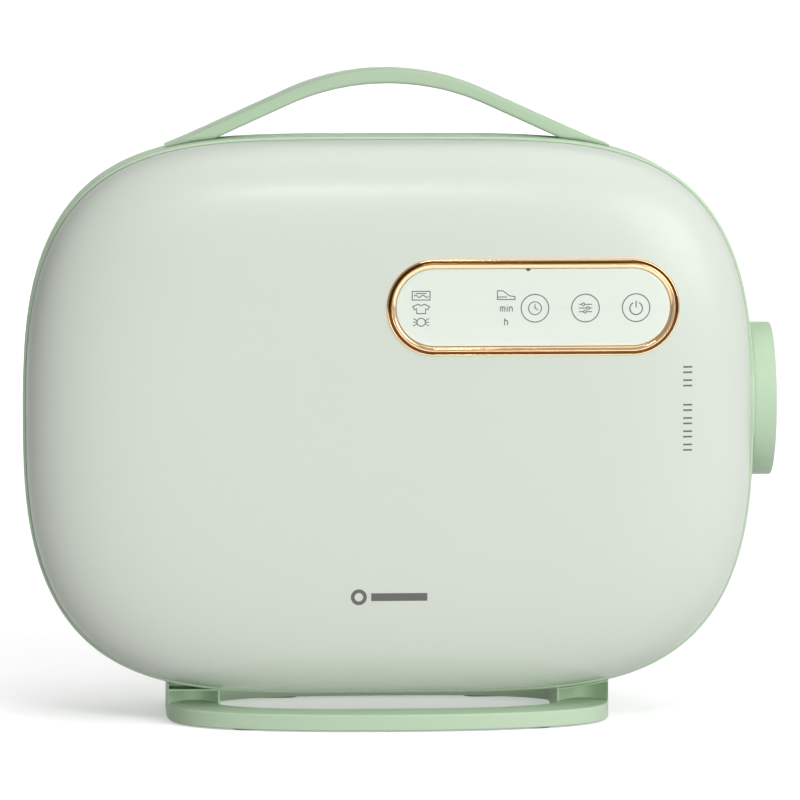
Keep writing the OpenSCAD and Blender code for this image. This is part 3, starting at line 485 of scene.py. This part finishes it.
inlet_turns = even_turns(200, INLET_W / 2, INLET_H / 2)
inlet_hole = superellipse(inlet_turns, INLET_W / 2 + INLET_GAP, INLET_H / 2 + INLET_GAP) + [0, BODY_Z]
cuts = [rod("x", 0, OUTLET_Z, BOSS_BORE_START, HALF_W + 2, COLLAR_BODY_R + 0.1, 160),
        prism_y(inlet_hole, INLET_FLOOR, PAST_BACK),
        rod("y", GLAND_X, GLAND_Z, 30, PAST_BACK, GLAND_R + 0.1),
        rod("y", GLAND_X, GLAND_Z, gland_y, PAST_BACK, GLAND_FLANGE_R + 0.1)]
cuts += [rod("y", x, z, CORNER_HEAD_Y, PAST_BACK, CORNER_HEAD_R, 64) for x, z in corners]
cuts += [rod("y", x, z, -10, CORNER_HEAD_Y + 1, CORNER_SHANK_R, 48) for x, z in corners]
boolean(housing, cuts, "DIFFERENCE")
finish_piece(housing, "body", ["rear_housing"], MATERIALS["housing_green"])


# ---- Touch panel --------------------------------------------------------------------------

def over_cover(outline, up):
    """A ring round the panel's middle, at a height above the cover's skin."""
    p = outline + [PANEL_X, PANEL_Z]
    return np.column_stack([p[:, 0], cover_y(p[:, 0], p[:, 1]) - up, p[:, 1]])


# The band's section: distance in from its outer edge, height above the cover
bezel_section = [(0.35, -3.0), (0.0, -0.3), (0.0, 0.15), (0.12, 0.42), (0.35, 0.62), (0.62, 0.70)]
bezel_section += [(0.74, 0.68), (0.80, 0.62), (0.88, 0.68), (1.1, 0.92), (1.45, 1.10), (1.9, 1.2)]
bezel_section += [(2.4, 1.2), (2.9, 1.12), (3.35, 0.93), (3.65, 0.62), (3.78, 0.3), (BAND, 0.0), (BAND, -3.0)]
points, normals = stadium(PANEL_W, PANEL_H)
rings = [over_cover(points - normals * distance, up) for distance, up in bezel_section]
bezel = make("bezel_ring", *loft(rings, closed=True))
finish_piece(bezel, "body", ["panel_bezel"], [MATERIALS["bezel_gold"], GOLD_DARK_REFLECTION], 50)
DARK_REFLECTION_FROM, DARK_REFLECTION_TO = 0.70, 1.75
for polygon in bezel.data.polygons:
    # The groove and the slope inside it take a darker gold: a painted dark reflection.
    cx, cz = polygon.center.x / MM - BODY_X - PANEL_X, polygon.center.z / MM - PANEL_Z
    reach = max(abs(cx) - (PANEL_W - PANEL_H) / 2, 0.0)
    inset = PANEL_H / 2 - math.hypot(reach, cz)
    polygon.material_index = 1 if DARK_REFLECTION_FROM < inset < DARK_REFLECTION_TO else 0

lens_w, lens_h = PANEL_W - 2 * (BAND + LENS_GAP), PANEL_H - 2 * (BAND + LENS_GAP)
lens_section = [(1.0, -1.6), (1.0, -0.1), (0.996, 0.02), (0.99, 0.06)]
lens_section += [(share, LENS_PROUD) for share in (0.97, 0.9, 0.75, 0.55, 0.36, 0.2, 0.08, 0.004)]
rings = []
for share, up in lens_section:
    inner = (1 - share) * lens_h
    outline, _ = stadium(max(lens_w - inner, 0.1), max(lens_h - inner, 0.05))
    rings.append(over_cover(outline, up))
lens = make("lens_pane", *loft(rings))
finish_piece(lens, "body", ["panel_lens"], MATERIALS["lens_white"])


def stroke(points, width, closed=False):
    """A flat ribbon of that width along a line, as rows of quads with mitred corners."""
    p = np.asarray(points, float)
    n = len(p)
    before = np.roll(p, 1, axis=0) if closed else np.vstack([p[:1] * 2 - p[1:2], p[:-1]])
    after = np.roll(p, -1, axis=0) if closed else np.vstack([p[1:], p[-1:] * 2 - p[-2:-1]])
    d0, d1 = p - before, after - p
    d0 /= np.linalg.norm(d0, axis=1)[:, None]
    d1 /= np.linalg.norm(d1, axis=1)[:, None]
    n0, n1 = np.column_stack([-d0[:, 1], d0[:, 0]]), np.column_stack([-d1[:, 1], d1[:, 0]])
    mitre = n0 + n1
    mitre /= np.maximum((mitre * n0).sum(1), 0.7)[:, None]
    left, right = p + mitre * width / 2, p - mitre * width / 2
    faces = [(i, (i + 1) % n, n + (i + 1) % n, n + i) for i in range(n if closed else n - 1)]
    return np.vstack([left, right]), faces


def arc(cx, cz, r, a0=0, a1=360, steps=40, rz=None):
    a = np.radians(np.linspace(a0, a1, steps + 1))
    return np.column_stack([cx + r * np.cos(a), cz + (rz or r) * np.sin(a)])


def circle(cx, cz, r, steps=48, rz=None):
    return arc(cx, cz, r, 0, 360, steps, rz)[:-1]


def printed(name, strokes, proud):
    """Ink: ribbons laid at a height above the cover's skin, raised by the thickness of a print."""
    verts, faces, count = [], [], 0
    for ribbon, quads in strokes:
        y = cover_y(ribbon[:, 0], ribbon[:, 1])
        n = len(ribbon)
        top = np.column_stack([ribbon[:, 0], y - proud - PRINT_T, ribbon[:, 1]])
        low = np.column_stack([ribbon[:, 0], y - proud, ribbon[:, 1]])
        verts += [top, low]
        edges = {}
        for f in quads:
            faces.append(tuple(count + i for i in f))
            faces.append(tuple(count + n + i for i in reversed(f)))
            for a, b in zip(f, f[1:] + f[:1]):
                edges[(a, b)] = edges.get((a, b), 0) + 1
        for a, b in edges:
            if (b, a) not in edges:
                faces.append((count + b, count + a, count + n + a, count + n + b))
        count += 2 * n
    obj = make(name, np.vstack(verts), faces)
    finish_piece(obj, "body", [], PRINT_DARK)


LINE, THIN, BOLD = 0.42, 0.38, 0.48


def thin(*points):
    return stroke(points, THIN)


def power_sign(x, z):
    return [stroke(arc(x, z - 0.25, 2.55, 118, 422, 40), BOLD), stroke([(x, z + 0.1), (x, z + 2.75)], BOLD)]


def clock(x, z):
    return [stroke(circle(x, z, 2.6, 40), THIN, True), thin((x, z + 1.6), (x, z), (x + 1.25, z - 0.7))]


def sliders(x, z):
    lines, knob_r, half = [], 0.55, 2.7
    for dz, dx in ((1.5, -0.9), (0.0, 1.0), (-1.5, -0.2)):
        knob = x + dx
        lines += [thin((x - half, z + dz), (knob - knob_r, z + dz)),
                  stroke(circle(knob, z + dz, knob_r, 20), THIN, True),
                  thin((knob + knob_r, z + dz), (x + half, z + dz))]
    return lines


def quilt(x, z):
    wave = [(x - 3.0 + 6.0 * k / 24, z - 0.3 + 0.45 * math.sin(k / 24 * 4 * math.pi)) for k in range(25)]
    edge = [(x - 3.6, z + 1.7), (x + 3.6, z + 1.7), (x + 3.6, z - 1.8), (x - 3.6, z - 1.8)]
    return [stroke(edge, THIN, True), thin(*wave), thin((x - 2.2, z + 0.8), (x + 2.2, z + 0.8))]


def shirt(x, z):
    half = [(1.3, 1.9), (3.4, 0.9), (2.6, -0.4), (1.8, 0.1), (1.8, -1.9)]
    line = [(x - dx, z + dz) for dx, dz in half] + [(x + dx, z + dz) for dx, dz in reversed(half)]
    return [stroke(line + [(x, z + 1.3)], THIN, True)]


def mite(x, z):
    legs = []
    for s in (-1, 1):
        for dz in (0.9, 0.0, -0.9):
            legs.append(thin((x + s * 1.6, z + dz * 0.7), (x + s * 3.2, z + dz * 1.7)))
    return [stroke(circle(x, z, 1.7, 28, 1.6), THIN, True)] + legs


def shoe(x, z):
    line = [(x - 3.5, z - 1.7), (x + 3.6, z - 1.7), (x + 3.6, z - 0.6), (x + 1.3, z - 0.2)]
    line += [(x - 0.6, z + 1.3), (x - 1.3, z + 1.8), (x - 3.5, z + 1.8)]
    return [stroke(line, THIN, True), thin((x - 3.5, z - 0.7), (x + 0.3, z - 0.7))]


def letters_min(x, z):
    base, up = z - 1.2, z + 0.75
    m = [thin((x - 2.6, base), (x - 2.6, up)), thin((x - 1.7, base), (x - 1.7, up - 0.4)),
         thin((x - 0.8, base), (x - 0.8, up - 0.4)), thin(*arc(x - 2.15, up - 0.45, 0.45, 180, 0, 12)),
         thin(*arc(x - 1.25, up - 0.45, 0.45, 180, 0, 12))]
    i = [thin((x + 0.1, base), (x + 0.1, up)), thin((x + 0.1, up + 0.45), (x + 0.1, up + 0.75))]
    n = [thin((x + 1.0, base), (x + 1.0, up)), thin((x + 2.2, base), (x + 2.2, up - 0.6)),
         thin(*arc(x + 1.6, up - 0.62, 0.6, 180, 0, 14))]
    return m + i + n


def letter_h(x, z):
    base = z - 1.3
    return [thin((x - 0.6, base), (x - 0.6, z + 1.5)), thin((x + 0.6, base), (x + 0.6, z + 0.1)),
            thin(*arc(x, z + 0.1, 0.6, 180, 0, 14))]


marks = [stroke(circle(x, KEY_Z, KEY_R, 72), LINE, True) for x in KEYS_X]
for x, key_sign in zip(KEYS_X, (clock, sliders, power_sign)):
    marks += key_sign(x, KEY_Z)
LEFT_SIGNS_X, RIGHT_SIGNS_X = 11.6, 46.0
HIGH_ROW, MIDDLE_ROW, LOW_ROW = 176.6, 171.2, 165.8
marks += quilt(LEFT_SIGNS_X, HIGH_ROW) + shirt(LEFT_SIGNS_X, MIDDLE_ROW) + mite(LEFT_SIGNS_X, LOW_ROW)
marks += shoe(RIGHT_SIGNS_X, HIGH_ROW) + letter_h(RIGHT_SIGNS_X, LOW_ROW)
marks += letters_min(RIGHT_SIGNS_X + 0.3, MIDDLE_ROW)
printed("panel_print", marks, LENS_PROUD + 0.005)

# A small sensor window under the bezel's upper edge
window_x, window_z = 55.0, PANEL_Z + PANEL_H / 2 - BAND - LENS_GAP
window = arc(window_x, window_z, 1.0, 180, 360, 14, 0.9)
window_y = cover_y(window[:, 0], window[:, 1])
rings = [np.column_stack([window[:, 0], window_y - up, window[:, 1]]) for up in (0.07, 0.13)]
sensor_window = make("sensor_window", *loft(rings))
finish_piece(sensor_window, "body", [], MATERIALS["dark_plastic"], 32)

# A plain ring and bar low on the cover, and short dashes in pairs beside the panel
EMBLEM_Z, DASH_FROM, DASH_TO, DASH_PAIR = 54.0, 118.2, 121.9, 2.2
cover_marks = [stroke(circle(-13.6, EMBLEM_Z, 2.5, 40), 1.5, True)]
cover_marks += [stroke([(-8.6, EMBLEM_Z), (14.2, EMBLEM_Z)], 3.2)]
for pair_z in (147.0, 141.6, 131.6, 126.2, 120.8, 115.4):
    for z in (pair_z, pair_z - DASH_PAIR):
        cover_marks.append(stroke([(DASH_FROM, z), (DASH_TO, z)], 0.7))
printed("cover_print", cover_marks, 0.0)


# ---- Outlet collar ------------------------------------------------------------------------

def quarter(r, x, radius, a0, a1, steps):
    """A rounded corner of the collar's section, as (radius, x) points."""
    turns = np.radians(np.linspace(a0, a1, steps))
    return [(r + radius * math.cos(v), x + radius * math.sin(v)) for v in turns]


def lathe_x(name, profile, z, count=192):
    """Turns a section, a list of (radius, x), about a line along X."""
    t = np.arange(count) / count * 2 * math.pi
    rings = [np.column_stack([np.full(count, x), r * np.cos(t), z + r * np.sin(t)]) for r, x in profile]
    return make(name, *loft(rings, closed=True))


profile = [(BORE_R, COLLAR_START), (COLLAR_BODY_R, COLLAR_START), (COLLAR_BODY_R, SHOULDER)]
profile += quarter(COLLAR_R - SHOULDER_ROUND, SHOULDER + SHOULDER_ROUND, SHOULDER_ROUND, -90, 0, 4)
profile += quarter(COLLAR_R - END_ROUND, COLLAR_END - END_ROUND, END_ROUND, 0, 90, 5)
profile += quarter(BORE_R + END_ROUND, COLLAR_END - END_ROUND, END_ROUND, 90, 180, 5)
collar = lathe_x("outlet_ring", profile, OUTLET_Z)
finish_piece(collar, "body", ["outlet_collar"], MATERIALS["housing_green"])


# ---- Carry handle -------------------------------------------------------------------------

crown_x = CROWN_R * math.sin(SLOPE)
crown_z = HANDLE_TOP - CROWN_R * (1 - math.cos(SLOPE))
FOOT_PROUD, FOOT_SOFT, FOOT_GAP, HANDLE_ROUND = 0.3, 1.2, 0.05, 1.3


def handle_z(x):
    """The strap's top: an arc, then straight slopes that run out softly on the shell."""
    ax = abs(x)
    if ax < crown_x:
        line = HANDLE_TOP - CROWN_R + math.sqrt(CROWN_R ** 2 - ax ** 2)
    else:
        line = crown_z - (ax - crown_x) * math.tan(SLOPE)
    shell = BODY_Z + float(shell_half(x)) + FOOT_PROUD
    return max(line, shell) + FOOT_SOFT * math.exp(-abs(line - shell) / FOOT_SOFT) * 0.4


rings = []
for x in np.linspace(-HANDLE_HALF, HANDLE_HALF, 161):
    high = handle_z(x)
    low = max(high - HANDLE_T, BODY_Z + float(shell_half(x)) + FOOT_GAP)
    r = min(HANDLE_ROUND, (high - low) * 0.42)
    section = []
    for cy, cz, a0 in ((HANDLE_Y1 - r, high - r, 0), (HANDLE_Y0 + r, high - r, 90),
                       (HANDLE_Y0 + r, low + r, 180), (HANDLE_Y1 - r, low + r, 270)):
        section += round_corner(cy, cz, r, a0, a0 + 90, 5)
    rings.append(np.array([(x, y, z) for y, z in section]))
handle = make("carry_handle", *loft(rings))
# The handle's darker sage is painted shade
finish_piece(handle, "body", ["handle"], MATERIALS["handle_green"])


# ---- Stand --------------------------------------------------------------------------------

hole_edge, hole_d = STAND_W / 2 - BAND_X, STAND_D / 2 - BAND_Y
RING_EDGE, RING_ROUND, SHELL_GAP, POST_TOP, CLEAR_Z, FIT = 0.4, 0.8, 0.1, 34.0, 60.0, 0.02
outer_turns = even_turns(260, STAND_W / 2, STAND_D / 2, RING_SQUARE_X, RING_SQUARE_Y)
hole_turns = even_turns(260, HOLE_W / 2, hole_d, HOLE_SQUARE, HOLE_SQUARE)


def level_ring(plan, z):
    return np.column_stack([plan, np.full(len(plan), z)])


def ring_at(inset, z):
    half_w, half_d = STAND_W / 2 - inset, STAND_D / 2 - inset
    return level_ring(superellipse(outer_turns, half_w, half_d, RING_SQUARE_X, RING_SQUARE_Y), z)


def hole_at(grow, z):
    """The ring's hole, cut off straight where the posts stand."""
    p = superellipse(hole_turns, HOLE_W / 2 + grow, hole_d + grow, HOLE_SQUARE, HOLE_SQUARE)
    p[:, 0] = np.clip(p[:, 0], -hole_edge - grow, hole_edge + grow)
    return level_ring(p, z)


def rounded_top(ring):
    """Rings up the rounded upper edge, from the full width inwards."""
    rings = []
    for v in np.radians(np.linspace(0, 90, 7)):
        rings.append(ring(RING_ROUND * (1 - math.cos(v)), STAND_H - RING_ROUND * (1 - math.sin(v))))
    return rings


def shelf_top(side, x):
    """The shelf across a post is level on the left and follows the shell on the right."""
    if side < 0:
        return np.full_like(x, SHELF_Z)
    return BODY_Z - shell_half(x) - SHELL_GAP - SHELF_GAP


def post_block(side):
    """A block from the ring to above the shell, flush with the ring's outline on its outer side."""
    outline = superellipse(np.linspace(-1.5, 1.5, 900), STAND_W / 2 - FIT, STAND_D / 2 - FIT,
                           RING_SQUARE_X, RING_SQUARE_Y)
    plan = [(hole_edge + FIT, POST_BACK), (hole_edge + FIT, -POST_FRONT)]
    for y in np.linspace(-POST_FRONT, POST_BACK, 25):
        plan.append((float(np.interp(y, outline[:, 1], outline[:, 0])), y))
    plan = np.array(plan) * [side, 1]
    return make("tool", *loft([level_ring(plan, z) for z in (STAND_H - 2.5, POST_TOP)]))


def post_cuts(side):
    """What is cut off a post: all above the shell, the pocket over the shelf and the hollow under it."""
    xs = np.linspace(hole_edge - 6, STAND_W / 2 + 6, 33)
    above = [(side * x, BODY_Z - float(shell_half(x)) - SHELL_GAP) for x in xs]
    above += [(side * xs[-1], CLEAR_Z), (side * xs[0], CLEAR_Z)]
    spans = np.linspace(-1, 1, 21)
    shelf_x = STAND_W / 2 - BAND_X / 2 + (BAND_X / 2 - WEB_T) * spans
    shelf_z = shelf_top(side, shelf_x)
    ends = (side * shelf_x[-1], side * shelf_x[0])
    pocket = [(side * x, z) for x, z in zip(shelf_x, shelf_z)] + [(x, POST_TOP) for x in ends]
    hollow = np.column_stack([side * shelf_x, HOLLOW_DEPTH * (1 - spans ** 2) - POST_FRONT])
    hollow = np.vstack([hollow, [(x, -POST_FRONT - 2) for x in ends]])
    roof = np.concatenate([shelf_z, shelf_z[[-1, 0]]]) - SHELF_T
    return [prism_y(above, -50, 30),
            prism_y(pocket, -POST_FRONT - 1, POCKET_DEPTH - POST_FRONT),
            make("tool", *loft([level_ring(hollow, STAND_H + 0.01), np.column_stack([hollow, roof])]))]


rings = [ring_at(RING_EDGE, FOOT_T), ring_at(0, FOOT_T + RING_EDGE)] + rounded_top(ring_at)
stand = make("stand_ring", *loft(rings))
rings = [hole_at(RING_EDGE, FOOT_T - 1), hole_at(RING_EDGE, FOOT_T), hole_at(0, FOOT_T + RING_EDGE)]
rings += rounded_top(hole_at) + [hole_at(RING_ROUND, STAND_H + 1)]
boolean(stand, [make("tool", *loft(rings))], "DIFFERENCE")
for side in (-1, 1):
    post = post_block(side)
    boolean(post, post_cuts(side), "DIFFERENCE")
    boolean(stand, [post], "UNION")
finish_piece(stand, "body", ["stand"], MATERIALS["housing_green"])


# ---- Remaining CAD nodes ------------------------------------------------------------------

slot_of = {row["node"]: row["material_slot"] for row in frame["record"]["subparts"]}
for node, obj in frame["nodes"].items():
    if not obj.hide_render:
        obj.data.materials.clear()
        obj.data.materials.append(MATERIALS[slot_of[node]])


# ---- Floor, light and camera --------------------------------------------------------------

def backdrop():
    """A pale sheet: level floor, a curve, then a wall, all lengths in metres."""
    m, tree, b = shader("backdrop")
    coord = add(tree, "ShaderNodeTexCoord").outputs["Object"]
    tone = remap(tree, noise(tree, coord, 3, 3), 0, 1)
    tree.links.new(mix_colour(tree, tone, (0.90, 0.90, 0.90), (0.93, 0.93, 0.93)), b.inputs["Base Color"])
    b.inputs["Roughness"].default_value = 0.7
    front, curve_y, curve_r, top, half_w = -5.0, 3.6, 0.8, 4.0, 5.0
    depth = [(front, 0.0), (curve_y, 0.0)]
    for v in np.radians(np.linspace(8, 90, 14)):
        depth.append((curve_y + curve_r * math.sin(v), curve_r - curve_r * math.cos(v)))
    depth.append((curve_y + curve_r, top))
    verts = [(x, y, z) for y, z in depth for x in (-half_w, half_w)]
    faces = [(2 * i, 2 * i + 1, 2 * i + 3, 2 * i + 2) for i in range(len(depth) - 1)]
    mesh = bpy.data.meshes.new("studio_floor")
    mesh.from_pydata(verts, [], faces)
    mesh.shade_smooth()
    obj = bpy.data.objects.new("studio_floor", mesh)
    bpy.context.scene.collection.objects.link(obj)
    mesh.materials.append(m)
    # No light bounces from the floor onto the object.
    obj.visible_diffuse = False
    return obj


def times(tree, a, b):
    node = add(tree, "ShaderNodeMath", operation="MULTIPLY")
    tree.links.new(a, node.inputs[0])
    tree.links.new(b, node.inputs[1])
    return node.outputs[0]


def studio_world():
    """Soft white light from all round: stronger from the right, weaker from above and from below."""
    world = bpy.data.worlds.new("studio")
    bpy.context.scene.world = world
    world.use_nodes = True
    sky = world.node_tree
    parts = add(sky, "ShaderNodeSeparateXYZ")
    sky.links.new(add(sky, "ShaderNodeTexCoord").outputs["Generated"], parts.inputs[0])
    across = remap(sky, parts.outputs["X"], 0.24, 0.86, -1.0, 0.9)
    upward = remap(sky, parts.outputs["Z"], 1.0, 0.72, 0.1, 0.9)
    below = remap(sky, parts.outputs["Z"], 0.45, 1.0, -0.30, 0.0)
    background = sky.nodes["Background"]
    sky.links.new(times(sky, times(sky, across, upward), below), background.inputs["Strength"])
    background.inputs["Color"].default_value = (1.0, 1.0, 1.0, 1)


def softbox(name, place, aim, size, watts):
    data = bpy.data.lights.new(name, "AREA")
    data.shape, data.size, data.size_y = "RECTANGLE", size[0], size[1]
    data.energy = watts
    lamp = bpy.data.objects.new(name, data)
    bpy.context.scene.collection.objects.link(lamp)
    lamp.location = place
    lamp.rotation_euler = (Vector(aim) - Vector(place)).to_track_quat("-Z", "Y").to_euler()
    return lamp


floor_sheet = backdrop()
studio_world()
softbox("key_right", (1.3, -1.6, 0.95), (0, 0, 0.13), (1.2, 1.1), 14.2)
softbox("top", (0.3, -0.1, 1.9), (0, 0, 0.13), (1.8, 1.0), 6.4)
softbox("front_strip", (0.0, -1.25, 0.98), (0, 0, 0.2), (0.24, 0.10), 2.0)
low_fill = softbox("low_fill", (0.15, -1.8, 0.10), (0, 0, 0.06), (1.6, 0.16), 10.5)
low_fill.visible_glossy = False

# Two lights without shadows that reach the sheet only
backdrop_only = bpy.data.collections.new("backdrop_only")
backdrop_only.objects.link(floor_sheet)
washes = [softbox("backdrop_wash", (0.0, -1.2, 2.6), (0, 0.4, 0.0), (3.0, 2.0), 48),
          softbox("backdrop_far", (0.0, 2.4, 2.2), (0, 3.8, 0.0), (4.0, 1.6), 75)]
for wash in washes:
    wash.data.use_shadow = False
    wash.light_linking.receiver_collection = backdrop_only

# The camera: its direction from the object, its distance and aim in metres, its focal length in pixels
AZIMUTH, ELEVATION, DISTANCE = math.radians(-2.97), math.radians(5.0), 2.757
AIM = Vector((-0.00005, -0.025, 0.1316))
FOCAL_PX, FRAME_PX, SENSOR = 6742, 800, 36.0
camera_data = bpy.data.cameras.new("photo_view")
camera_data.sensor_width = SENSOR
camera_data.lens = FOCAL_PX / FRAME_PX * SENSOR
camera_data.clip_start, camera_data.clip_end = 0.05, 30
camera = bpy.data.objects.new("photo_view", camera_data)
bpy.context.scene.collection.objects.link(camera)
back = Vector((math.sin(AZIMUTH) * math.cos(ELEVATION), -math.cos(AZIMUTH) * math.cos(ELEVATION),
               math.sin(ELEVATION)))
camera.location = AIM + back * DISTANCE
camera.rotation_euler = (-back).to_track_quat("-Z", "Y").to_euler()
bpy.context.scene.camera = camera
bpy.context.scene.view_settings.view_transform = "Standard"
